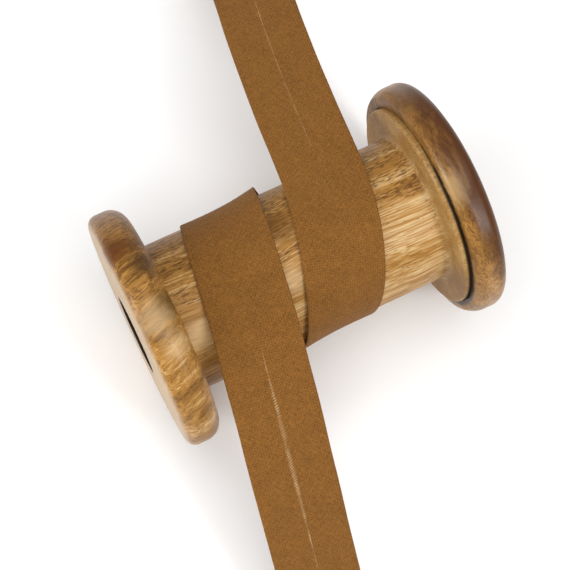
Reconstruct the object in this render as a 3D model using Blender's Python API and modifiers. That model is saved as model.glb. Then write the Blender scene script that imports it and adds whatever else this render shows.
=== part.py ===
"""Bias binding wound once round a turned wooden spool that lies on its side.

The spool's axis runs along X and both flanges stand on the surface at Z = 0.
The tape comes from its far loose end (+Y), goes over the barrel near the right flange, once round
it towards the left, over the top again and down to its near loose end (-Y). Sizes are in metres.
"""
import math

import bmesh
import bpy
from mathutils import Vector

# The spool. Distances along its axis are counted from its middle.
FLANGE_RADIUS = 0.0305
SPOOL_HALF_LENGTH = 0.04325
OUTER_ROUNDING = 0.0028
INNER_ROUNDING = 0.0045
WIDEST_AT = 0.0381
BARREL_RADIUS = 0.01895
BORE_RADIUS = 0.0100
BORE_CHAMFER = 0.0006
RIGHT_INNER_FACE = 0.0346
LEFT_INNER_FACE = WIDEST_AT - INNER_ROUNDING
RECESS_FLOOR = 0.0368
RIGHT_SHOULDER_RADIUS = 0.0263
RIGHT_SHOULDER_FACE = 0.0331
LEFT_SHOULDER_RADIUS = 0.0256
LEFT_SHOULDER_FACE = 0.0339
SHOULDER_ROUNDING = 0.0009
COVE_RADIUS = 0.0014
FIT_GAP = 0.0003
FLAT_DEPTH = 0.00012
CUTTER_LENGTH = 0.020
CUTTER_HEIGHT = 0.004
TURNED_STEPS = 64
ROUNDING_STEPS = 5

AXIS_HEIGHT = FLANGE_RADIUS - FLAT_DEPTH

# The tape: single-fold bias binding, 20 mm wide as folded.
TAPE_WIDTH = 0.020
TAPE_THICKNESS = 0.0010
TAPE_CLEARANCE = 0.0003
TAPE_STEP = 0.0032
TAPE_COLUMNS = 4
WOUND_KNOT_ANGLE = 14.0

CENTRE_RADIUS = BARREL_RADIUS + TAPE_CLEARANCE + TAPE_THICKNESS / 2
RESTING = TAPE_THICKNESS / 2

# Loose ends, each from its outer cut end or to it: centre line of the folded tape.
FAR_END = (
    # x,      y,      z
    (0.0274, 0.1230, RESTING),
    (0.0273, 0.1170, RESTING),
    (0.0270, 0.1105, 0.0015),
    (0.0264, 0.1025, 0.0062),
    (0.0255, 0.0935, 0.0138),
    (0.0243, 0.0830, 0.0224),
    (0.0219, 0.0710, 0.0295),
    (0.0191, 0.0575, 0.0346),
    (0.0168, 0.0440, 0.0388),
    (0.0149, 0.0310, 0.0424),
    (0.0136, 0.0200, 0.0452),
    (0.0125, 0.0120, 0.0472),
)
NEAR_END = (
    # x,       y,       z
    (-0.0185, -0.0150, 0.0491),
    (-0.0204, -0.0250, 0.0472),
    (-0.0221, -0.0350, 0.0440),
    (-0.0238, -0.0450, 0.0392),
    (-0.0253, -0.0550, 0.0326),
    (-0.0268, -0.0655, 0.0242),
    (-0.0281, -0.0760, 0.0155),
    (-0.0292, -0.0855, 0.0080),
    (-0.0300, -0.0940, 0.0030),
    (-0.0306, -0.1020, 0.0009),
    (-0.0310, -0.1095, RESTING),
    (-0.0312, -0.1170, RESTING),
    (-0.0312, -0.1230, RESTING),
)

# The turn on the barrel. Degrees count from the top towards -Y; a lift is how far that edge
# stands off beyond the closest fit.
WOUND = (
    # degrees, x,      left lift, right lift
    (-16, 0.0111, 0.0001, 0.0001),
    (10, 0.0090, 0.0001, 0.0001),
    (34, 0.0068, 0.0002, 0.0000),
    (58, 0.0047, 0.0004, 0.0000),
    (80, 0.0030, 0.0005, 0.0000),
    (120, -0.0002, 0.0002, 0.0000),
    (240, -0.0087, 0.0000, 0.0000),
    (285, -0.0122, 0.0002, 0.0009),
    (310, -0.0135, 0.0001, 0.0005),
    (330, -0.0146, 0.0000, 0.0002),
    (348, -0.0155, 0.0000, 0.0000),
    (366, -0.0165, 0.0000, 0.0000),
)


def smooth(keys, values, position):
    """Read a value (number or vector) from a smooth curve through values at rising keys."""
    last = len(keys) - 1

    def slope(i):
        low, high = max(i - 1, 0), min(i + 1, last)
        return (values[high] - values[low]) / (keys[high] - keys[low])

    index = 0
    while index < last - 1 and position > keys[index + 1]:
        index += 1
    span = keys[index + 1] - keys[index]
    t = (position - keys[index]) / span
    start = values[index] * (2 * t**3 - 3 * t**2 + 1) + slope(index) * (span * (t**3 - 2 * t**2 + t))
    end = values[index + 1] * (3 * t**2 - 2 * t**3) + slope(index + 1) * (span * (t**3 - t**2))
    return start + end


def wound_knots():
    """Centre points and tilts of the turn that lies on the barrel."""
    angles = [row[0] for row in WOUND]
    count = round((angles[-1] - angles[0]) / WOUND_KNOT_ANGLE)
    for k in range(count + 1):
        degrees = angles[0] + (angles[-1] - angles[0]) * k / count
        x, left, right = (smooth(angles, [row[c] for row in WOUND], degrees) for c in (1, 2, 3))
        radius = CENTRE_RADIUS + (left + right) / 2
        turn = math.radians(degrees)
        point = Vector((x, -radius * math.sin(turn), AXIS_HEIGHT + radius * math.cos(turn)))
        yield point, math.atan2(right - left, TAPE_WIDTH)


def tape_stations():
    """Evenly spaced stations along the tape: centre and width direction, towards +X."""
    knots = [(Vector(row), 0.0) for row in FAR_END]
    knots += list(wound_knots())
    knots += [(Vector(row), 0.0) for row in NEAR_END]
    points = [point for point, _ in knots]
    tilts = [tilt for _, tilt in knots]
    lengths = [0.0]
    for before, after in zip(points, points[1:]):
        lengths.append(lengths[-1] + (after - before).length)
    count = round(lengths[-1] / TAPE_STEP)
    path = [lengths[-1] * k / count for k in range(count + 1)]
    centres = [smooth(lengths, points, s) for s in path]
    for centre in centres:
        centre.z = max(centre.z, RESTING)
    for k, centre in enumerate(centres):
        along = (centres[min(k + 1, count)] - centres[max(k - 1, 0)]).normalized()
        outward = Vector((0, along.z, -along.y)).normalized()
        across = outward.cross(along)
        outward = along.cross(across)
        tilt = smooth(lengths, tilts, path[k])
        yield centre, across * math.cos(tilt) + outward * math.sin(tilt)


def material(name, colour, roughness):
    """A plain Principled material."""
    made = bpy.data.materials.new(name)
    made.use_nodes = True
    shader = made.node_tree.nodes["Principled BSDF"]
    shader.inputs["Base Color"].default_value = (*colour, 1.0)
    shader.inputs["Roughness"].default_value = roughness
    made.diffuse_color = (*colour, 1.0)
    return made


def arc(centre_r, centre_s, radius, start, end):
    """Points of a rounding in the turned profile; angles from +s towards +r, in degrees."""
    for k in range(ROUNDING_STEPS + 1):
        turn = math.radians(start + (end - start) * k / ROUNDING_STEPS)
        yield centre_r + radius * math.sin(turn), centre_s + radius * math.cos(turn)


def turned(name, profile, collection, finish):
    """A turned piece: a closed outline of (radius, distance along the axis) swept round Z.

    It is then placed on the spool's axis, its top towards +X.
    """
    mesh = bpy.data.meshes.new(name)
    bm = bmesh.new()
    corners = [bm.verts.new((r, 0, s)) for r, s in profile]
    for a, b in zip(corners, corners[1:] + corners[:1]):
        bm.edges.new((a, b))
    bm.to_mesh(mesh)
    bm.free()
    mesh.materials.append(finish)
    obj = bpy.data.objects.new(name, mesh)
    collection.objects.link(obj)
    screw = obj.modifiers.new("Turn", 'SCREW')
    screw.steps = TURNED_STEPS
    screw.render_steps = TURNED_STEPS
    screw.use_merge_vertices = True
    screw.merge_threshold = 0.00001
    screw.use_smooth_shade = True
    obj.location = (0, 0, AXIS_HEIGHT)
    obj.rotation_euler = (0, math.pi / 2, 0)
    return obj


def flange_profile(inner_face, shoulder_radius):
    """Flange section: rounded rim, flat outer face, and a recess for the barrel's shoulder."""
    inner_turn = math.degrees(math.acos((inner_face - WIDEST_AT) / INNER_ROUNDING))
    points = list(arc(FLANGE_RADIUS - OUTER_ROUNDING, SPOOL_HALF_LENGTH - OUTER_ROUNDING,
                      OUTER_ROUNDING, 0, 90))
    points += arc(FLANGE_RADIUS - INNER_ROUNDING, WIDEST_AT, INNER_ROUNDING, 90, inner_turn)
    points += [
        (shoulder_radius + FIT_GAP, inner_face),
        (shoulder_radius + FIT_GAP, RECESS_FLOOR),
        (BORE_RADIUS, RECESS_FLOOR),
        (BORE_RADIUS, SPOOL_HALF_LENGTH - BORE_CHAMFER),
        (BORE_RADIUS + BORE_CHAMFER, SPOOL_HALF_LENGTH),
    ]
    return points


def shoulder_profile(radius, face):
    """One end of the barrel's section: inner end, shoulder disc, and cove down to the barrel."""
    end = RECESS_FLOOR - FIT_GAP
    points = [(BORE_RADIUS, end), (radius, end)]
    points += arc(radius - SHOULDER_ROUNDING, face + SHOULDER_ROUNDING, SHOULDER_ROUNDING, 90, 180)
    for degrees in (0, 30, 60, 90):
        turn = math.radians(degrees)
        r = BARREL_RADIUS + COVE_RADIUS * (1 - math.sin(turn))
        points.append((r, face - COVE_RADIUS * (1 - math.cos(turn))))
    return points


def barrel_profile():
    """Barrel section: a straight barrel with a coved shoulder at each end, bored through.

    The right shoulder stands proud of its flange ring, and the left one sits inside its rim.
    """
    right = shoulder_profile(RIGHT_SHOULDER_RADIUS, RIGHT_SHOULDER_FACE)
    left = shoulder_profile(LEFT_SHOULDER_RADIUS, LEFT_SHOULDER_FACE)
    return right + [(r, -s) for r, s in reversed(left)]


def flat_spot_cutter(name, x, collection):
    """A block under a flange that takes the rim down to a small flat to stand on."""
    bm = bmesh.new()
    bmesh.ops.create_cube(bm, size=1.0)
    bmesh.ops.scale(bm, vec=(CUTTER_LENGTH, FLANGE_RADIUS, CUTTER_HEIGHT), verts=bm.verts)
    mesh = bpy.data.meshes.new(name)
    bm.to_mesh(mesh)
    bm.free()
    cutter = bpy.data.objects.new(name, mesh)
    cutter.location = (x, 0, -CUTTER_HEIGHT / 2)
    cutter.hide_render = True
    cutter.display_type = 'WIRE'
    collection.objects.link(cutter)
    return cutter


def cut(obj, cutter):
    """Subtract the cutter from the piece."""
    boolean = obj.modifiers.new("Flat spot", 'BOOLEAN')
    boolean.operation = 'DIFFERENCE'
    boolean.solver = 'EXACT'
    boolean.object = cutter


def build_spool(parts, cutters):
    """The barrel and its two flanges, each with a flat spot at the bottom."""
    barrel_wood = material("turned light mango wood", (0.52, 0.33, 0.14), 0.45)
    flange_wood = material("turned dark mango wood", (0.34, 0.17, 0.06), 0.35)
    turned("barrel", barrel_profile(), parts, barrel_wood)
    right = turned("flange_right", flange_profile(RIGHT_INNER_FACE, RIGHT_SHOULDER_RADIUS),
                   parts, flange_wood)
    left = turned("flange_left", flange_profile(LEFT_INNER_FACE, LEFT_SHOULDER_RADIUS),
                  parts, flange_wood)
    left.rotation_euler = (0, -math.pi / 2, 0)
    cut(right, flat_spot_cutter("flat_spot_right", WIDEST_AT, cutters))
    cut(left, flat_spot_cutter("flat_spot_left", -WIDEST_AT, cutters))


def build_tape(parts):
    """The folded tape as one sheet: a flat grid laid along the stations and thickened."""
    stations = list(tape_stations())
    bm = bmesh.new()
    bmesh.ops.create_grid(bm, x_segments=TAPE_COLUMNS, y_segments=len(stations) - 1, size=1.0)
    for vert in bm.verts:
        centre, across = stations[round((vert.co.y + 1) / 2 * (len(stations) - 1))]
        vert.co = centre + across * (vert.co.x * TAPE_WIDTH / 2)
    mesh = bpy.data.meshes.new("binding_tape")
    bm.to_mesh(mesh)
    bm.free()
    mesh.shade_smooth()
    mesh.materials.append(material("brown bias-cut woven cotton", (0.25, 0.105, 0.024), 0.85))
    obj = bpy.data.objects.new("binding_tape", mesh)
    parts.objects.link(obj)
    solid = obj.modifiers.new("Thickness", 'SOLIDIFY')
    solid.thickness = TAPE_THICKNESS
    solid.offset = 0
    solid.use_even_offset = True


def main():
    for obj in list(bpy.data.objects):
        bpy.data.objects.remove(obj)
    scene = bpy.context.scene.collection
    parts = bpy.data.collections.new("Bias binding on a spool")
    cutters = bpy.data.collections.new("Cutters")
    scene.children.link(parts)
    scene.children.link(cutters)
    build_spool(parts, cutters)
    build_tape(parts)


main()
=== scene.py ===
import math

import bmesh
import bpy
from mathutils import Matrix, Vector, noise


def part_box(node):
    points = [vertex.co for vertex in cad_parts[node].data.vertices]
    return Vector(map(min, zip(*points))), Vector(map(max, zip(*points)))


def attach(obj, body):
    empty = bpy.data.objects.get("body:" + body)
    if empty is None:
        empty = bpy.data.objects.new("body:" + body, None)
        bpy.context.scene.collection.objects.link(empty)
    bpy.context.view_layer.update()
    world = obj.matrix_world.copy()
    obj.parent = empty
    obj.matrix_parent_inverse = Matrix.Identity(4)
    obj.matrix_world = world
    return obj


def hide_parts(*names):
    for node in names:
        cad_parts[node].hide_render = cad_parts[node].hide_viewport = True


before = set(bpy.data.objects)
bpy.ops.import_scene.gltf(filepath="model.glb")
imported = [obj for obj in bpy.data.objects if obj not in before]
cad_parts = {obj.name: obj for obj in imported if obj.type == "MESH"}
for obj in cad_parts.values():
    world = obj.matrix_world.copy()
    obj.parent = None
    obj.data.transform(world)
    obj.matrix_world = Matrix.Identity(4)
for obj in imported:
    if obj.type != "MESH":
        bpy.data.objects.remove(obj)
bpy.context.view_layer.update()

flange_low, flange_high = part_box("flange_right")
left_flange_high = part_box("flange_left")[1]
flange_reach = (flange_high.y - flange_low.y) / 2

bl_info = {
    "name": "Bias Binding on a Wooden Spool",
    "version": (1, 0, 0),
    "blender": (4, 5, 0),
    "location": "View3D > Sidebar > Binding",
    "description": "A turned wooden spool on its side with one length of folded bias binding wound round it",
    "category": "Object",
}

# Centre lines of the tape's two loose ends. The far one starts at its cut end, and the near one
# stops at its own. A height of 0 stands for lying on the surface.
FAR_END = (
    # x,      y,      z
    (0.0276, 0.1230, 0.0),
    (0.0275, 0.1170, 0.0),
    (0.0272, 0.1105, 0.0015),
    (0.0266, 0.1025, 0.0062),
    (0.0256, 0.0935, 0.0138),
    (0.0240, 0.0830, 0.0224),
    (0.0219, 0.0710, 0.0295),
    (0.0191, 0.0575, 0.0346),
    (0.0168, 0.0440, 0.0388),
    (0.0149, 0.0310, 0.0424),
    (0.0136, 0.0200, 0.0452),
    (0.0125, 0.0120, 0.0472),
)
NEAR_END = (
    # x,       y,       z
    (-0.0185, -0.0150, 0.0491),
    (-0.0204, -0.0250, 0.0472),
    (-0.0221, -0.0350, 0.0440),
    (-0.0238, -0.0450, 0.0392),
    (-0.0253, -0.0550, 0.0326),
    (-0.0268, -0.0655, 0.0242),
    (-0.0281, -0.0760, 0.0155),
    (-0.0292, -0.0855, 0.0080),
    (-0.0300, -0.0940, 0.0030),
    (-0.0306, -0.1020, 0.0009),
    (-0.0310, -0.1095, 0.0),
    (-0.0312, -0.1170, 0.0),
    (-0.0312, -0.1230, 0.0),
)
# The turn on the barrel. Degrees count from the top towards -Y; a lift is how far that edge
# stands off beyond the closest fit.
WOUND = (
    # degrees, x,      left lift, right lift
    (-16, 0.0111, 0.0001, 0.0001),
    (10, 0.0090, 0.0001, 0.0001),
    (34, 0.0068, 0.0002, 0.0000),
    (58, 0.0047, 0.0006, 0.0000),
    (80, 0.0030, 0.0013, 0.0000),
    (120, -0.0002, 0.0006, 0.0000),
    (240, -0.0087, 0.0000, 0.0000),
    (285, -0.0122, 0.0002, 0.0016),
    (310, -0.0135, 0.0001, 0.0011),
    (330, -0.0146, 0.0000, 0.0004),
    (348, -0.0155, 0.0000, 0.0000),
    (366, -0.0165, 0.0000, 0.0000),
)


def linear(hex_colour):
    """An sRGB hex colour as linear RGBA."""
    shares = [int(hex_colour[i:i + 2], 16) / 255 for i in (1, 3, 5)]
    return (*(c / 12.92 if c <= 0.04045 else ((c + 0.055) / 1.055) ** 2.4 for c in shares), 1.0)


def length_prop(name, description, default):
    return bpy.props.FloatProperty(name=name, description=description, default=default,
                                   min=0.0, unit='LENGTH', precision=5)


def colour_prop(name, description, hex_colour):
    return bpy.props.FloatVectorProperty(name=name, description=description, subtype='COLOR',
                                         size=4, min=0.0, max=1.0, default=linear(hex_colour))


class SpoolSizes(bpy.types.PropertyGroup):
    flange_radius: length_prop("Flange radius", "Radius of both flanges", flange_reach)
    axis_height: length_prop("Axis height", "Height of the spool's axis above the surface",
                             flange_high.z - flange_reach)
    half_length: length_prop("Half length", "From the spool's middle to an end face", flange_high.x)
    right_face: length_prop("Right inner face", "From the middle to the right flange", flange_low.x)
    left_face: length_prop("Left inner face", "From the middle to the left flange", -left_flange_high.x)
    widest_at: length_prop("Widest at", "From the middle to the flange's widest place", 0.0381)
    outer_rounding: length_prop("Outer rounding", "Rounding at the end face's edge", 0.0028)
    inner_rounding: length_prop("Inner rounding", "Rounding towards the barrel", 0.0045)
    barrel_radius: length_prop("Barrel radius", "Radius of the barrel", 0.01895)
    bore_radius: length_prop("Bore radius", "Radius of the hole through the spool", 0.0100)
    right_shoulder: length_prop("Right shoulder", "Radius of the barrel's right end disc", 0.0263)
    right_shoulder_face: length_prop("Right shoulder face", "From the middle to that disc", 0.0331)
    left_shoulder: length_prop("Left shoulder", "Radius of the barrel's left end disc", 0.0256)
    left_shoulder_face: length_prop("Left shoulder face", "From the middle to that disc", 0.0339)
    shoulder_rounding: length_prop("Shoulder rounding", "Rounding of the shoulders' edges", 0.0009)
    cove_radius: length_prop("Cove", "Hollow rounding between barrel and shoulder", 0.0014)
    recess_floor: length_prop("Recess", "From the middle to the recess floor in a flange", 0.0368)
    fit_gap: length_prop("Seam", "Glued seam between shoulder and flange", 0.0001)
    steps: bpy.props.IntProperty(name="Steps", description="Sides of each turned piece",
                                 default=192, min=24, max=512)


class TapeSizes(bpy.types.PropertyGroup):
    width: length_prop("Width", "Width of the folded tape", 0.020)
    cloth: length_prop("Cloth", "Thickness of the cotton", 0.00024)
    fold_radius: length_prop("Fold radius", "Radius of the pressed folds, at mid-cloth", 0.00017)
    raw_gap: length_prop("Gap", "Between the two raw edges underneath", 0.0005)
    clearance: length_prop("Clearance", "Between the tape and the barrel", 0.00005)
    step: length_prop("Step", "Length of one row of faces", 0.0008)
    thread: length_prop("Thread spacing", "Spacing of the drawn threads", 0.00042)


class Finishes(bpy.types.PropertyGroup):
    sapwood: colour_prop("Sapwood", "Lightest wood", "#ccae7c")
    grain: colour_prop("Grain", "Golden middle tone of the wood", "#a97a3a")
    latewood: colour_prop("Latewood", "Dark bands of the wood", "#6f4a1e")
    heartwood: colour_prop("Heartwood", "Darkest wood, on the right flange", "#48230c")
    pores: colour_prop("Pores", "Dark dashes along the grain", "#4c2b10")
    # Painted shade in the seam's groove, darkened further by dust and lacquer.
    seam_dust_and_shade: colour_prop("Seam dust and shade", "Painted shade, dust and lacquer in the right shoulder's seam", "#20150c")
    # Painted shade inside the bore: its wall is drawn dark.
    bore_shade: colour_prop("Bore shade", "Painted shade inside the bore", "#24180f")
    cloth: colour_prop("Cloth", "Dyed cotton", "#7c5222")
    press_mark: colour_prop("Press mark", "Pale line over the raw edges", "#c8aa80")
    floor: colour_prop("Floor", "Paper that the spool lies on", "#fafafa")


def add(tree, kind, links=(), stops=(), **settings):
    """Add a node: its settings, a value or a feeding socket for inputs, and colour stops."""
    node = tree.nodes.new("ShaderNode" + kind)
    for key, value in settings.items():
        setattr(node, key, value)
    for key, value in dict(links).items():
        if isinstance(value, bpy.types.NodeSocket):
            tree.links.new(value, node.inputs[key])
        else:
            node.inputs[key].default_value = value
    for index, (place, colour) in enumerate(stops):
        elements = node.color_ramp.elements
        element = elements[index] if index < 2 else elements.new(place)
        element.position = place
        element.color = colour
    return node


def new_material(name):
    """An empty node material and its tree."""
    made = bpy.data.materials.new(name)
    made.use_nodes = True
    made.node_tree.nodes.clear()
    return made, made.node_tree


def turned_mango_wood(name, colours, sizes, look):
    """Mango wood, turned, sanded and brushed with thin satin lacquer.

    The fibres give long streaks and short dark pores along one direction, the heartwood gives a
    brown side with a cloudy edge, and the lacquer gives a soft pale sheen at low angles. A look
    is one piece's figure: how the blank lay in the board, how its fibres wander, how much its
    patterns show, and where it is stained or cut across. It also paints light and shade into the
    colour: each piece is lighter towards its light side, partly its own tone and partly painted
    light on the -Y side that the lamps light most, and some patches are painted shade or painted
    highlights. Its lengths are in millimetres, from the spool's middle and axis.
    """
    made, tree = new_material(name)
    place = add(tree, "TexCoord").outputs["Object"]
    mm = add(tree, "VectorMath", {0: place, 1: (1000, 1000, 1000)}, operation='MULTIPLY').outputs[0]
    parts = add(tree, "SeparateXYZ", {0: mm}).outputs
    grain = add(tree, "Mapping", {"Vector": mm, "Rotation": look["grain_turn"],
                                  "Location": look["seed"]}).outputs[0]
    # The fibres wander sideways: how often in a millimetre, and how far.
    rate, reach = look["wander"]
    drift = add(tree, "TexNoise", {"Vector": grain, "Scale": rate, "Detail": 2.0}).outputs["Color"]
    bend = add(tree, "VectorMath", {0: drift, 1: (0.0, reach, reach)}, operation='MULTIPLY').outputs[0]
    fibres = add(tree, "VectorMath", {0: grain, 1: bend}, operation='ADD').outputs[0]

    # Each pattern: what it follows, how often it repeats in a millimetre along the fibres and
    # across them, its detail and its roughness.
    streak = look["streak"]
    patterns = {
        # Growth bands about 5 mm wide.
        "bands": (fibres, (0.02, 0.20, 0.20), 3.0, 0.55),
        # Streaks about 1 mm wide and 14 mm long.
        "streaks": (fibres, (0.07, streak, streak), 3.0, 0.6),
        # Bundles of fibres 0.36 mm wide, coarser than real ones so that they show.
        "bundles": (fibres, (0.06, 2.8, 2.8), 2.0, 0.6),
        # Pores cut open as dashes 0.37 mm wide and 1 to 2 mm long, a little coarser than real.
        "dashes": (fibres, (0.55, 2.7, 2.7), 1.0, 0.5),
        # Belts about 3 mm wide, where the pores crowd together.
        "belts": (fibres, (0.05, 0.30, 0.30), 2.0, 0.5),
        # Clouds about 4 mm wide, at the edges of heartwood and stains.
        "clouds": (grain, (0.08, 0.28, 0.28), 4.0, 0.6),
    }
    noises = {}
    for key, (vector, repeats, detail, roughness) in patterns.items():
        scaled = add(tree, "VectorMath", {0: vector, 1: repeats}, operation='MULTIPLY').outputs[0]
        noises[key] = add(tree, "TexNoise", {"Vector": scaled, "Scale": 1.0, "Detail": detail,
                                             "Roughness": roughness}).outputs["Fac"]

    # Painted light in part: lighter towards the look's light side, which on every piece includes the -Y side
    # that the lamps light most; the rest is the wood's own tone.
    lighter = add(tree, "VectorMath", {0: mm, 1: look["light_side"]},
                  operation='DOT_PRODUCT').outputs["Value"]
    tone = add(tree, "Math", {0: lighter, 1: look["lightness"]}, operation='ADD').outputs[0]
    for key, weight in zip(("streaks", "bands", "bundles"), look["weights"]):
        tone = add(tree, "Math", {0: noises[key], 1: weight, 2: tone},
                   operation='MULTIPLY_ADD').outputs[0]
    tones = ((0.64, colours.latewood), (0.86, colours.grain), (1.20, colours.sapwood))
    colour = add(tree, "ValToRGB", {"Fac": tone}, stops=tones).outputs[0]

    # Layers of colour: what each follows, where its share starts and stops changing, the share
    # at either end, and its colour.
    layers = {}
    if "heart" in look:
        # Heartwood: one side of the blank, with a streaky and cloudy edge.
        towards, start, unevenness, share = look["heart"]
        depth = add(tree, "VectorMath", {0: mm, 1: towards}, operation='DOT_PRODUCT').outputs["Value"]
        for key, reach in zip(("streaks", "clouds"), unevenness):
            depth = add(tree, "Math", {0: noises[key], 1: reach, 2: depth},
                        operation='MULTIPLY_ADD').outputs[0]
        layers["heartwood"] = (depth, start, start + 7.0, 0.0, share, colours.heartwood)

    side = add(tree, "VectorMath", {0: mm, 1: look["pore_side"]}, operation='DOT_PRODUCT').outputs["Value"]
    crowding = add(tree, "Math", {0: side, 1: noises["belts"]}, operation='ADD').outputs[0]
    sparse, dense = look["pores"]
    crowded = add(tree, "MapRange", {"Value": crowding, "From Min": 0.35, "From Max": 0.65,
                                     "To Min": sparse, "To Max": dense},
                  interpolation_type='SMOOTHSTEP').outputs[0]
    dark = add(tree, "Math", {0: noises["dashes"], 1: crowded}, operation='ADD').outputs[0]
    layers["pores"] = (dark, 0.55, 0.66, 0.0, look["pore_depth"], colours.pores)

    if "cut_face_tint" in look:
        # A face cut across the fibres shows calm, dull end grain, polished smooth. On the left flange's end
        # face the tint is paler, partly painted reflection of the white surroundings at a low angle.
        tint, start, end, share = look["cut_face_tint"]
        layers["end grain"] = (parts[0], start, end, 0.0, share, linear(tint))
    for centre, size, tint, share in look["patches"]:
        # A patch with a cloudy edge: a stain or a pale patch in the wood, and on some pieces painted shade
        # or a painted highlight.
        away = add(tree, "VectorMath", {0: mm, 1: centre}, operation='DISTANCE').outputs["Value"]
        cloudy = add(tree, "Math", {0: noises["clouds"], 1: size * 1.6, 2: away},
                     operation='MULTIPLY_ADD').outputs[0]
        layers["patch", centre] = (cloudy, size * 1.1, size * 2.2, share, 0.0, linear(tint))

    # Painted shade with dust and lacquer in the mouth of the seam round the right shoulder: the groove is
    # darkened as painted shade, less of it on the +Y side. The bore's wall is painted dark up to its
    # chamfer, as painted shade inside the hole.
    mouth = (1000 * sizes.right_face + 0.6, 1000 * (sizes.right_shoulder + sizes.fit_gap) + 0.3, 0.0)
    bore_edge = 1000 * sizes.bore_radius + 0.2
    flat = add(tree, "CombineXYZ", {1: parts[1], 2: parts[2]}).outputs[0]
    radius = add(tree, "VectorMath", {0: flat}, operation='LENGTH').outputs["Value"]
    section = add(tree, "CombineXYZ", {0: parts[0], 1: radius}).outputs[0]
    seam = add(tree, "VectorMath", {0: section, 1: mouth}, operation='DISTANCE').outputs["Value"]
    seam = add(tree, "Math", {0: noises["dashes"], 1: -look["dust"], 2: seam},
               operation='MULTIPLY_ADD').outputs[0]
    half_seam_shade = 0.5 * look["dust"]
    fade_to_plus_y = add(tree, "MapRange", {"Value": parts[1], "From Min": -8.0, "From Max": 14.0,
                                   "To Min": half_seam_shade, "To Max": half_seam_shade + 0.7},
                interpolation_type='SMOOTHSTEP').outputs[0]
    seam = add(tree, "Math", {0: seam, 1: fade_to_plus_y}, operation='ADD').outputs[0]
    layers["seam dust"] = (seam, 0.9, 1.4, 0.95, 0.0, colours.seam_dust_and_shade)
    # Painted shade: the bore's wall is drawn dark.
    layers["bore"] = (radius, bore_edge, bore_edge + 0.15, 1.0, 0.0, colours.bore_shade)

    shares = {}
    for key, (value, low, high, first, last, tint) in layers.items():
        shares[key] = add(tree, "MapRange", {"Value": value, "From Min": low, "From Max": high,
                                             "To Min": first, "To Max": last},
                          interpolation_type='SMOOTHSTEP').outputs[0]
        colour = add(tree, "Mix", {0: shares[key], 6: colour, 7: tint}, data_type='RGBA').outputs[2]

    relief = add(tree, "Math", {0: shares["pores"], 1: -0.6, 2: noises["streaks"]},
                 operation='MULTIPLY_ADD').outputs[0]
    bump = add(tree, "Bump", {"Height": relief, "Strength": 0.15, "Distance": 0.00012}).outputs[0]
    shader = add(tree, "BsdfPrincipled", {"Base Color": colour, "Roughness": look["roughness"],
                                          "Normal": bump, "IOR": 1.5, "Specular IOR Level": 0.1,
                                          "Coat Weight": look["lacquer"], "Coat Roughness": 0.28})
    add(tree, "OutputMaterial", {"Surface": shader.outputs[0]})
    return made


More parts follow.
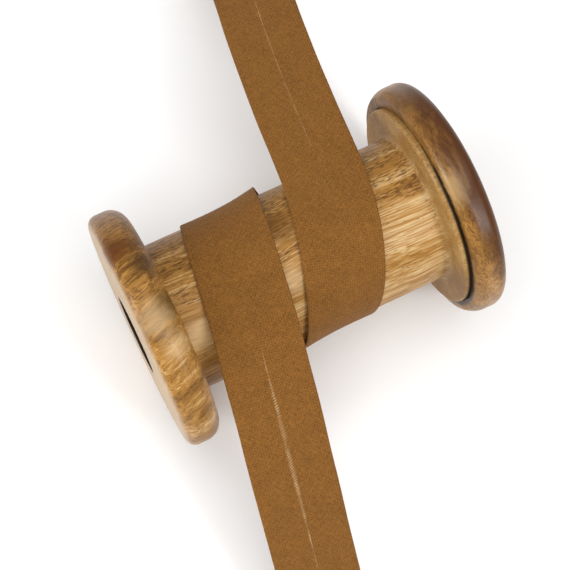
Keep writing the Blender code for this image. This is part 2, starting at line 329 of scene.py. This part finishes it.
def bias_cut_cotton(name, colours, thread, centre):
    """Plain-woven cotton, dyed, cut on the bias, folded and pressed.

    The weave gives a fine matt texture of threads at 45 degrees to the edges, with faint slubs,
    and the press leaves a pale ladder over the raw edges underneath. The real threads are about
    0.3 mm apart and are drawn 0.42 mm apart, so that they show.
    """
    made, tree = new_material(name)
    place = add(tree, "UVMap", uv_map="Cloth").outputs[0]
    counted = add(tree, "VectorMath", {0: place, 1: (1 / thread, 1 / thread, 1)},
                  operation='MULTIPLY').outputs[0]
    threads = add(tree, "VectorRotate", {"Vector": counted, "Angle": math.radians(45)},
                  rotation_type='Z_AXIS').outputs[0]
    # No thread runs quite straight.
    shake = add(tree, "TexNoise", {"Vector": threads, "Scale": 0.35, "Detail": 2.0,
                                   "Roughness": 0.7}).outputs["Color"]
    crooked = add(tree, "VectorMath", {0: shake, 1: (1.6, 1.6, 0), 2: threads},
                  operation='MULTIPLY_ADD').outputs[0]
    wave = add(tree, "VectorMath", {0: crooked, 1: (math.pi, math.pi, 0)}, operation='MULTIPLY').outputs[0]
    swing = add(tree, "VectorMath", {0: wave}, operation='SINE').outputs[0]
    swings = add(tree, "SeparateXYZ", {0: swing}).outputs
    crossing = add(tree, "Math", {0: swings[0], 1: swings[1]}, operation='MULTIPLY').outputs[0]
    # Each thread's own thickness and dye, slowly changing along it.
    warp = add(tree, "VectorMath", {0: threads, 1: (1.0, 0.16, 1)}, operation='MULTIPLY').outputs[0]
    weft = add(tree, "VectorMath", {0: threads, 1: (0.16, 1.0, 1)}, operation='MULTIPLY').outputs[0]
    warp_slub = add(tree, "TexNoise", {"Vector": warp, "Scale": 1.0, "Detail": 1.0}).outputs["Fac"]
    weft_slub = add(tree, "TexNoise", {"Vector": weft, "Scale": 1.0, "Detail": 1.0}).outputs["Fac"]
    slubs = add(tree, "Math", {0: warp_slub, 1: weft_slub}, operation='ADD').outputs[0]
    # Fuzz over single crossings, and clouds in the dye about 6 mm wide.
    fuzz = add(tree, "TexNoise", {"Vector": threads, "Scale": 0.9, "Detail": 1.0}).outputs["Fac"]
    clouds = add(tree, "TexNoise", {"Vector": place, "Scale": 160.0, "Detail": 3.0}).outputs["Fac"]
    tone = slubs
    for part, weight in ((crossing, 0.36), (fuzz, 1.4), (clouds, 0.5)):
        tone = add(tree, "Math", {0: part, 1: weight, 2: tone}, operation='MULTIPLY_ADD').outputs[0]
    value = add(tree, "MapRange", {"Value": tone, "From Min": 1.20, "From Max": 2.70,
                                   "To Min": 0.58, "To Max": 1.42}).outputs[0]
    dyed = add(tree, "HueSaturation", {"Value": value, "Color": colours.cloth}).outputs[0]

    # The press mark: a ladder of slanted strokes, or a thin broken line where the press was light.
    pitch, slope, thin, broad = 0.00062, 0.55, 0.00026, 0.00075
    worn = add(tree, "Attribute", attribute_name="press_mark").outputs["Fac"]
    cloth = add(tree, "SeparateXYZ", {0: place}).outputs
    from_middle = add(tree, "Math", {0: cloth[0], 1: centre}, operation='SUBTRACT').outputs[0]
    slant = add(tree, "Math", {0: from_middle, 1: slope, 2: cloth[1]}, operation='MULTIPLY_ADD').outputs[0]
    beat = add(tree, "Math", {0: slant, 1: 2 * math.pi / pitch}, operation='MULTIPLY').outputs[0]
    strokes = add(tree, "Math", {0: beat}, operation='SINE').outputs[0]
    stroke_mask = add(tree, "MapRange", {"Value": strokes, "From Min": -0.6, "From Max": 0.8,
                                         "To Min": 0.12}).outputs[0]
    reach = add(tree, "Math", {0: from_middle}, operation='ABSOLUTE').outputs[0]
    wide = add(tree, "MapRange", {"Value": worn, "From Min": 0.3, "To Min": thin,
                                  "To Max": broad}).outputs[0]
    inside = add(tree, "Math", {0: reach, 1: wide}, operation='DIVIDE').outputs[0]
    reach_mask = add(tree, "MapRange", {"Value": inside, "From Min": 0.2, "From Max": 1.0,
                                        "To Min": 1.0, "To Max": 0.0}).outputs[0]
    breaks = add(tree, "TexNoise", {"Vector": place, "Scale": 260.0, "Detail": 3.0,
                                    "Roughness": 0.7}).outputs["Fac"]
    break_mask = add(tree, "MapRange", {"Value": breaks, "From Min": 0.30, "From Max": 0.62,
                                        "To Max": 0.8}).outputs[0]
    mark = add(tree, "MapRange", {"Value": worn, "From Max": 0.3}).outputs[0]
    for mask in (stroke_mask, reach_mask, break_mask):
        mark = add(tree, "Math", {0: mark, 1: mask}, operation='MULTIPLY').outputs[0]
    colour = add(tree, "Mix", {0: mark, 6: dyed, 7: colours.press_mark}, data_type='RGBA').outputs[2]

    height = add(tree, "Math", {0: crossing, 1: 0.5, 2: slubs}, operation='MULTIPLY_ADD').outputs[0]
    bump = add(tree, "Bump", {"Height": height, "Strength": 0.5, "Distance": 0.00008}).outputs[0]
    shader = add(tree, "BsdfPrincipled", {"Base Color": colour, "Normal": bump, "Roughness": 0.9,
                                          "Specular IOR Level": 0.15, "Sheen Weight": 0.05,
                                          "Sheen Roughness": 0.5})
    add(tree, "OutputMaterial", {"Surface": shader.outputs[0]})
    return made


def matt_paper(name, colours):
    """Smooth matt paper: plain and pale, so that only soft shadows show on it."""
    made, tree = new_material(name)
    shader = add(tree, "BsdfPrincipled", {"Base Color": colours.floor, "Roughness": 0.9,
                                          "Specular IOR Level": 0.1})
    add(tree, "OutputMaterial", {"Surface": shader.outputs[0]})
    return made


def arc(centre_r, centre_s, radius, start, end, steps):
    """Points of a rounding in a turned outline; angles from +s towards +r, in degrees."""
    for k in range(steps + 1):
        turn = math.radians(start + (end - start) * k / steps)
        yield centre_r + radius * math.sin(turn), centre_s + radius * math.cos(turn)


def line(start, end, steps):
    """Points between two points of a turned outline, without the ends."""
    for k in range(1, steps):
        yield tuple(a + (b - a) * k / steps for a, b in zip(start, end))


def flange_outline(sizes, inner_face, shoulder):
    """Flange section: rounded rim, inner face, recess for the shoulder, bore and end face."""
    corner, chamfer = 0.0003, 0.0002
    rim_radius = sizes.flange_radius - sizes.inner_rounding
    turn = math.degrees(math.acos(max(-1.0, (inner_face - sizes.widest_at) / sizes.inner_rounding)))
    seam_radius = shoulder + sizes.fit_gap
    # The end face falls away by 0.35 mm towards its rounded edge, and meets it at a slant.
    domed_from, drop, slant = 0.0215, 0.00035, 6
    tip = sizes.outer_rounding * 0.93
    edge_radius = sizes.flange_radius - tip + tip * math.sin(math.radians(slant))
    tip_at = sizes.half_length - drop - tip * math.cos(math.radians(slant))
    points = list(arc(sizes.flange_radius - tip, tip_at, tip, slant, 90, 12))
    points += arc(rim_radius, sizes.widest_at, sizes.inner_rounding, 90, turn - 4, 16)
    points += arc(seam_radius + corner, inner_face + corner, corner, 200, 270, 4)
    recess_end = (sizes.bore_radius, sizes.recess_floor)
    bore_end = (sizes.bore_radius, sizes.half_length - chamfer)
    face_start = (sizes.bore_radius + chamfer, sizes.half_length)
    points += [(seam_radius, sizes.recess_floor), recess_end]
    points += [*line(recess_end, bore_end, 4), bore_end, face_start]
    points += line(face_start, (domed_from, sizes.half_length), 6)
    for k in range(8):
        share = k / 8
        points.append((domed_from + (edge_radius - domed_from) * share,
                       sizes.half_length - drop * share ** 2))
    return points


def shoulder_outline(sizes, radius, face):
    """One end of the barrel's section: inner end, rounded shoulder disc and cove."""
    end, rounding, cove = sizes.recess_floor - sizes.fit_gap, sizes.shoulder_rounding, sizes.cove_radius
    points = [(sizes.bore_radius, end), (radius, end)]
    points += arc(radius - rounding, face + rounding, rounding, 90, 180, 8)
    points += line((radius - rounding, face), (sizes.barrel_radius + cove, face), 5)
    points += reversed(list(arc(sizes.barrel_radius + cove, face - cove, cove, 270, 360, 6)))
    return points


def barrel_outline(sizes):
    """Barrel section with a coved and rounded shoulder disc at each end, bored through."""
    right = shoulder_outline(sizes, sizes.right_shoulder, sizes.right_shoulder_face)
    left = shoulder_outline(sizes, sizes.left_shoulder, sizes.left_shoulder_face)
    left = [(r, -s) for r, s in reversed(left)]
    middle = list(line(right[-1], left[0], 24))
    return right + middle + left + list(line(left[-1], right[0], 12))


def turned_piece(name, outline, sizes, side, finish):
    """Spin an outline of (radius, distance along the axis) round X and seat it on the surface."""
    # Hand-held tools leave the outside up to 0.12 mm out of true, in waves 5 to 17 mm long.
    untrue, waves = 0.00006, Vector((220, 60, 60))
    bm = bmesh.new()
    corners = [bm.verts.new((s * side, 0, r)) for r, s in outline]
    edges = [bm.edges.new(pair) for pair in zip(corners, corners[1:] + corners[:1])]
    bmesh.ops.spin(bm, geom=corners + edges, cent=(0, 0, 0), axis=(1, 0, 0),
                   angle=2 * math.pi, steps=sizes.steps, use_merge=True)
    for vert in bm.verts:
        radius = math.hypot(vert.co.y, vert.co.z)
        if radius > sizes.bore_radius * 1.2:
            wave = noise.noise(vert.co * waves)
            shrink = 1 - untrue * (1 + wave) / radius
            vert.co.y *= shrink
            vert.co.z *= shrink
        vert.co.z = max(vert.co.z, -sizes.axis_height)
    bmesh.ops.recalc_face_normals(bm, faces=bm.faces)
    if any(not edge.is_manifold for edge in bm.edges):
        raise RuntimeError(f"{name}: the turned outline didn't close")
    mesh = bpy.data.meshes.new(name)
    bm.to_mesh(mesh)
    bm.free()
    mesh.shade_smooth()
    mesh.set_sharp_from_angle(angle=math.radians(40))
    mesh.materials.append(finish)
    piece = bpy.data.objects.new(name, mesh)
    piece.location = (0, 0, sizes.axis_height)
    bpy.context.scene.collection.objects.link(piece)
    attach(piece, "root")
    return piece


def smooth(keys, values, position):
    """Read a value (number or vector) from a smooth curve through values at rising keys."""
    last = len(keys) - 1

    def slope(i):
        low, high = max(i - 1, 0), min(i + 1, last)
        return (values[high] - values[low]) / (keys[high] - keys[low])

    index = 0
    while index < last - 1 and position > keys[index + 1]:
        index += 1
    span = keys[index + 1] - keys[index]
    t = (position - keys[index]) / span
    start = values[index] * (2 * t**3 - 3 * t**2 + 1) + slope(index) * (span * (t**3 - 2 * t**2 + t))
    end = values[index + 1] * (3 * t**2 - 2 * t**3) + slope(index + 1) * (span * (t**3 - t**2))
    return start + end


def tape_route(tape, spool):
    """Stations along the tape: centre, across, outward, distance, lifts of both edges, looseness."""
    half = tape.fold_radius + tape.cloth / 2
    closest = spool.barrel_radius + tape.clearance + half
    knots = [(Vector((x, y, max(z, half))), Vector((0, 0)), 1.0) for x, y, z in FAR_END]
    angles = [row[0] for row in WOUND]
    knot_turn = 14.0
    count = round((angles[-1] - angles[0]) / knot_turn)
    for k in range(count + 1):
        degrees = angles[0] + (angles[-1] - angles[0]) * k / count
        x, left, right = (smooth(angles, [row[c] for row in WOUND], degrees) for c in (1, 2, 3))
        turn = math.radians(degrees)
        point = Vector((x, -closest * math.sin(turn), spool.axis_height + closest * math.cos(turn)))
        knots.append((point, Vector((left, right)), 0.0))
    knots += [(Vector((x, y, max(z, half))), Vector((0, 0)), 1.0) for x, y, z in NEAR_END]
    points, lifts, loose = zip(*knots)
    lengths = [0.0]
    for before, after in zip(points, points[1:]):
        lengths.append(lengths[-1] + (after - before).length)
    count = round(lengths[-1] / tape.step)
    path = [lengths[-1] * k / count for k in range(count + 1)]
    centres = [smooth(lengths, points, s) for s in path]
    for centre in centres:
        centre.z = max(centre.z, half)
    for k, centre in enumerate(centres):
        along = (centres[min(k + 1, count)] - centres[max(k - 1, 0)]).normalized()
        outward = Vector((0, along.z, -along.y)).normalized()
        across = outward.cross(along)
        outward = along.cross(across)
        yield (centre, across, outward, path[k], smooth(lengths, lifts, path[k]),
               smooth(lengths, loose, path[k]))


def press_mark(y):
    """How strongly the raw edges show through: a thin line at the far end, a ladder at the near one."""
    rows = ((-0.110, 0.15), (-0.066, 0.18), (-0.058, 0.55), (-0.046, 1.0), (-0.036, 0.95), (-0.027, 0.4),
            (-0.021, 0.1), (-0.018, 0.0), (0.018, 0.0), (0.026, 0.12), (0.050, 0.2), (0.090, 0.25))
    if y <= rows[0][0] or y >= rows[-1][0]:
        return rows[0][1] if y < 0 else rows[-1][1]
    for (low, start), (high, end) in zip(rows, rows[1:]):
        if y <= high:
            return start + (end - start) * (y - low) / (high - low)


def folded_section(tape):
    """Mid-line of the folded cloth from raw edge to raw edge: across, outward, distance in the cloth."""
    fold, edge = tape.fold_radius, tape.width / 2 - tape.fold_radius
    flap = [(-tape.raw_gap / 2 + (tape.raw_gap / 2 - edge) * k / 8, -fold) for k in range(8)]
    left = flap + [(-edge - fold * math.sin(math.radians(a)), -fold * math.cos(math.radians(a)))
                   for a in range(0, 181, 30)]
    top = [(-edge + 2 * edge * k / 14, fold) for k in range(1, 14)]
    right = [(-a, b) for a, b in reversed(left)]
    section = left + top + right
    used = 0.0
    for k, (a, b) in enumerate(section):
        if k:
            used += math.hypot(a - section[k - 1][0], b - section[k - 1][1])
        yield a, b, used


class BINDING_OT_stage(bpy.types.Operator):
    """Lay the pale floor and set the soft lights and the camera"""
    bl_idname = "binding.stage"
    bl_label = "Stage"

    def execute(self, context):
        scene = context.scene
        mesh = bpy.data.meshes.new("floor")
        bm = bmesh.new()
        bmesh.ops.create_grid(bm, x_segments=8, y_segments=8, size=2.5)
        bm.to_mesh(mesh)
        bm.free()
        mesh.materials.append(matt_paper("smooth matt white paper", scene.binding_finishes))
        floor = bpy.data.objects.new("floor", mesh)
        scene.collection.objects.link(floor)

        world = bpy.data.worlds.new("Light tent")
        world.use_nodes = True
        world.node_tree.nodes.clear()
        sky = add(world.node_tree, "Background", {"Color": (1.0, 1.0, 1.0, 1.0), "Strength": 0.52})
        add(world.node_tree, "OutputWorld", {"Surface": sky.outputs[0]})
        scene.world = world

        middle = Vector((0, 0, 0.03))
        lamps = (
            # name,      place,                watts, width, height
            ("top box", (-0.06, -0.10, 0.95), 4.2, 0.80, 0.80),
            ("front box", (0.24, -0.58, 0.62), 2.6, 0.13, 0.46),
            ("side box", (-0.80, 0.14, 0.36), 4.2, 0.26, 0.55),
        )
        for name, place, watts, width, height in lamps:
            light = bpy.data.lights.new(name, 'AREA')
            light.shape = 'RECTANGLE'
            light.size, light.size_y = width, height
            light.energy = watts
            lamp = bpy.data.objects.new(name, light)
            lamp.location = place
            lamp.rotation_euler = (middle - Vector(place)).to_track_quat('-Z', 'Y').to_euler()
            scene.collection.objects.link(lamp)

        # Seen from above, as in the photo.
        lens = bpy.data.cameras.new("photo")
        lens.lens, lens.sensor_width = 86.256, 36.0
        lens.clip_start, lens.clip_end = 0.01, 20.0
        camera = bpy.data.objects.new("photo", lens)
        camera.location = (-0.055287, -0.073407, 0.355864)
        camera.rotation_euler = [math.radians(angle) for angle in (14.4958, -2.6316, -25.9678)]
        scene.collection.objects.link(camera)
        scene.camera = camera
        scene.view_settings.view_transform = 'Standard'
        return {'FINISHED'}


class BINDING_OT_barrel(bpy.types.Operator):
    """Turn the barrel with its two shoulder discs"""
    bl_idname = "binding.barrel"
    bl_label = "Barrel"

    def execute(self, context):
        sizes, colours = context.scene.binding_spool, context.scene.binding_finishes
        finish = turned_mango_wood("turned light mango wood, satin lacquer", colours, sizes, {
            "grain_turn": (0, 0, 0), "seed": (13.0, 4.0, -7.0), "wander": (0.03, 5.0),
            "streak": 1.3, "weights": (0.22, 0.48, 0.62), "dust": 0.0,
            "lightness": 0.185, "light_side": (0.0008, -0.0010, 0.0),
            "pores": (-0.11, 0.07), "pore_side": (0.001, 0.016, 0.0), "pore_depth": 0.66,
            "cut_face_tint": ("#957342", 31.8, 33.0, 0.55), "roughness": 0.45, "lacquer": 0.15,
            "patches": (
                ((-2.5, 5.0, 18.5), 4.0, "#6a441a", 0.7),
                ((-5.4, -7.6, 17.3), 3.5, "#d2b384", 0.4),
                ((-30.0, -10.0, 16.0), 4.0, "#d2b384", 0.7),
                # Painted shade: darker on the right shoulder disc's near side.
                ((33.0, -25.5, 5.0), 8.0, "#6b4a28", 0.6),
            ),
        })
        barrel = turned_piece("turned_barrel", barrel_outline(sizes), sizes, 1, finish)
        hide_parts("barrel")
        return {'FINISHED'}


class BINDING_OT_flanges(bpy.types.Operator):
    """Turn both flanges and fit them on the barrel's shoulders"""
    bl_idname = "binding.flanges"
    bl_label = "Flanges"

    def execute(self, context):
        sizes, colours = context.scene.binding_spool, context.scene.binding_finishes
        right_outline = flange_outline(sizes, sizes.right_face, sizes.right_shoulder)
        left_outline = flange_outline(sizes, sizes.left_face, sizes.left_shoulder)
        right_wood = turned_mango_wood("turned dark mango wood, grain across", colours, sizes, {
            "grain_turn": (0, 0, math.radians(90)), "seed": (31.0, -12.0, 5.0), "wander": (0.05, 9.0),
            "streak": 0.8, "weights": (0.4, 0.6, 0.3), "dust": 2.2,
            "lightness": 0.115, "light_side": (0.0, -0.0008, -0.0016),
            "pores": (-0.05, 0.03), "pore_side": (0.0, 0.0, 0.0), "pore_depth": 0.6,
            "heart": ((1.0, 0.0, 0.27), 51.4, (9.0, 12.0), 0.92),
            "patches": (
                ((36.5, 20.0, 20.0), 9.0, "#5c3c17", 0.5),
                # Partly painted highlight: a pale patch on the ring's inner rounding where a lamp's soft
                # highlight falls, over lighter golden wood.
                ((34.9, -6.3, 28.3), 4.2, "#bd9d6c", 0.5),
            ),
            "roughness": 0.38, "lacquer": 0.34,
        })
        left_wood = turned_mango_wood("turned dark mango wood, grain along", colours, sizes, {
            "grain_turn": (0, 0, math.radians(-18)), "seed": (-40.0, 22.0, 9.0), "wander": (0.05, 7.0),
            "streak": 0.85, "weights": (0.55, 0.6, 0.3), "dust": 0.0,
            "lightness": 0.045, "light_side": (0.0, -0.001, 0.0),
            "pores": (-0.06, 0.07), "pore_side": (0.0, 0.014, 0.0), "pore_depth": 0.6,
            # Paler end face: sanded end grain, partly painted reflection of the white surroundings seen at a
            # low angle.
            "cut_face_tint": ("#b29a78", -42.0, -43.1, 0.62),
            "patches": (
                ((-41.0, 14.2, 26.4), 4.2, "#5c300d", 0.75),
                # Dark blotches in the wood next to the barrel, partly painted shade where the flange meets
                # the barrel.
                ((-35.5, 8.0, 29.0), 3.5, "#4a3216", 0.85),
                ((-35.4, -3.0, 28.2), 3.2, "#5d4521", 0.75),
                # Painted highlights: pale patches where the rim faces the overhead lamp.
                ((-39.0, -5.3, 30.0), 4.5, "#d2b384", 0.4),
                ((-36.4, -12.0, 27.0), 3.5, "#d2b384", 0.4),
            ),
            "roughness": 0.38, "lacquer": 0.2,
        })
        right = turned_piece("turned_flange_right", right_outline, sizes, 1, right_wood)
        left = turned_piece("turned_flange_left", left_outline, sizes, -1, left_wood)
        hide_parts("flange_right")
        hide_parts("flange_left")
        return {'FINISHED'}


class BINDING_OT_tape(bpy.types.Operator):
    """Fold the bias-cut cloth and lay it round the barrel"""
    bl_idname = "binding.tape"
    bl_label = "Tape"

    def execute(self, context):
        tape, spool = context.scene.binding_tape, context.scene.binding_spool
        section = list(folded_section(tape))
        stations = list(tape_route(tape, spool))
        length = stations[-1][3]
        columns, rows = len(section) - 1, len(stations) - 1
        bm = bmesh.new()
        bmesh.ops.create_grid(bm, x_segments=columns, y_segments=rows, size=1.0)
        pressed = bm.verts.layers.float.new("press_mark")
        cloth = {}
        lowest = tape.cloth / 2
        # Pressed cloth is never quite straight or flat, and its turned-in halves relax where the
        # tape hangs free and at its cut ends.
        waver, ripple_height, slack, spread, spread_length = 0.00008, 0.00005, 0.0002, 0.0010, 0.010
        mark_fade = 0.004
        for vert in bm.verts:
            across_at, outward_at, used = section[round((vert.co.x + 1) / 2 * columns)]
            centre, across, outward, along, lift, loose = stations[round((vert.co.y + 1) / 2 * rows)]
            to_end = min(along, length - along)
            across_at += waver * noise.noise(Vector((along * 70, across_at * 40, 3.0)))
            ripple = noise.noise(Vector((along * 90, across_at * 110, outward_at * 900)))
            outward_at += ripple_height * ripple * (1 if outward_at > 0 else 0)
            side = across_at / tape.width
            lifted = lift.x * max(0.0, 0.5 - side) ** 2.5 + lift.y * max(0.0, 0.5 + side) ** 2.5
            if outward_at < 0:
                inside = 1 - abs(across_at) / (tape.width / 2)
                outward_at -= inside * slack * loose
                outward_at -= inside * spread * max(0.0, 1 - to_end / spread_length) ** 2
            point = centre + across * across_at + outward * (outward_at + lifted)
            point.z = max(point.z, lowest if outward_at < 0 else lowest + 1.6 * tape.fold_radius)
            vert.co = point
            cloth[vert] = (used, along)
            vert[pressed] = press_mark(centre.y) * min(1.0, to_end / mark_fade)
        uv = bm.loops.layers.uv.new("Cloth")
        for face in bm.faces:
            face.smooth = True
            for loop in face.loops:
                loop[uv].uv = cloth[loop.vert]
        mesh = bpy.data.meshes.new("folded_binding")
        bm.to_mesh(mesh)
        bm.free()
        width = section[-1][2]
        mesh.materials.append(bias_cut_cotton("bias-cut plain-woven cotton, pressed",
                                              context.scene.binding_finishes, tape.thread, width / 2))
        piece = bpy.data.objects.new("folded_binding", mesh)
        context.scene.collection.objects.link(piece)
        solid = piece.modifiers.new("Cloth", 'SOLIDIFY')
        solid.thickness = tape.cloth
        solid.offset = 0
        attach(piece, "root")
        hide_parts("binding_tape")
        return {'FINISHED'}


class BINDING_PT_panel(bpy.types.Panel):
    """Sizes, colours and pieces of the spool and its binding"""
    bl_idname = "BINDING_PT_panel"
    bl_label = "Bias Binding"
    bl_space_type = 'VIEW_3D'
    bl_region_type = 'UI'
    bl_category = "Binding"

    def draw(self, context):
        layout = self.layout
        for operator in OPERATORS:
            layout.operator(operator.bl_idname)
        for group in (context.scene.binding_spool, context.scene.binding_tape,
                      context.scene.binding_finishes):
            column = layout.column(align=True)
            for key in group.__annotations__:
                column.prop(group, key)


GROUPS = (SpoolSizes, TapeSizes, Finishes)
OPERATORS = (BINDING_OT_stage, BINDING_OT_barrel, BINDING_OT_flanges, BINDING_OT_tape)


def register():
    for cls in (*GROUPS, *OPERATORS, BINDING_PT_panel):
        bpy.utils.register_class(cls)
    bpy.types.Scene.binding_spool = bpy.props.PointerProperty(type=SpoolSizes)
    bpy.types.Scene.binding_tape = bpy.props.PointerProperty(type=TapeSizes)
    bpy.types.Scene.binding_finishes = bpy.props.PointerProperty(type=Finishes)


def unregister():
    del bpy.types.Scene.binding_finishes
    del bpy.types.Scene.binding_tape
    del bpy.types.Scene.binding_spool
    for cls in reversed((*GROUPS, *OPERATORS, BINDING_PT_panel)):
        bpy.utils.unregister_class(cls)


def main():
    register()
    bpy.ops.binding.stage()
    bpy.ops.binding.barrel()
    bpy.ops.binding.flanges()
    bpy.ops.binding.tape()


if __name__ == "__main__":
    main()
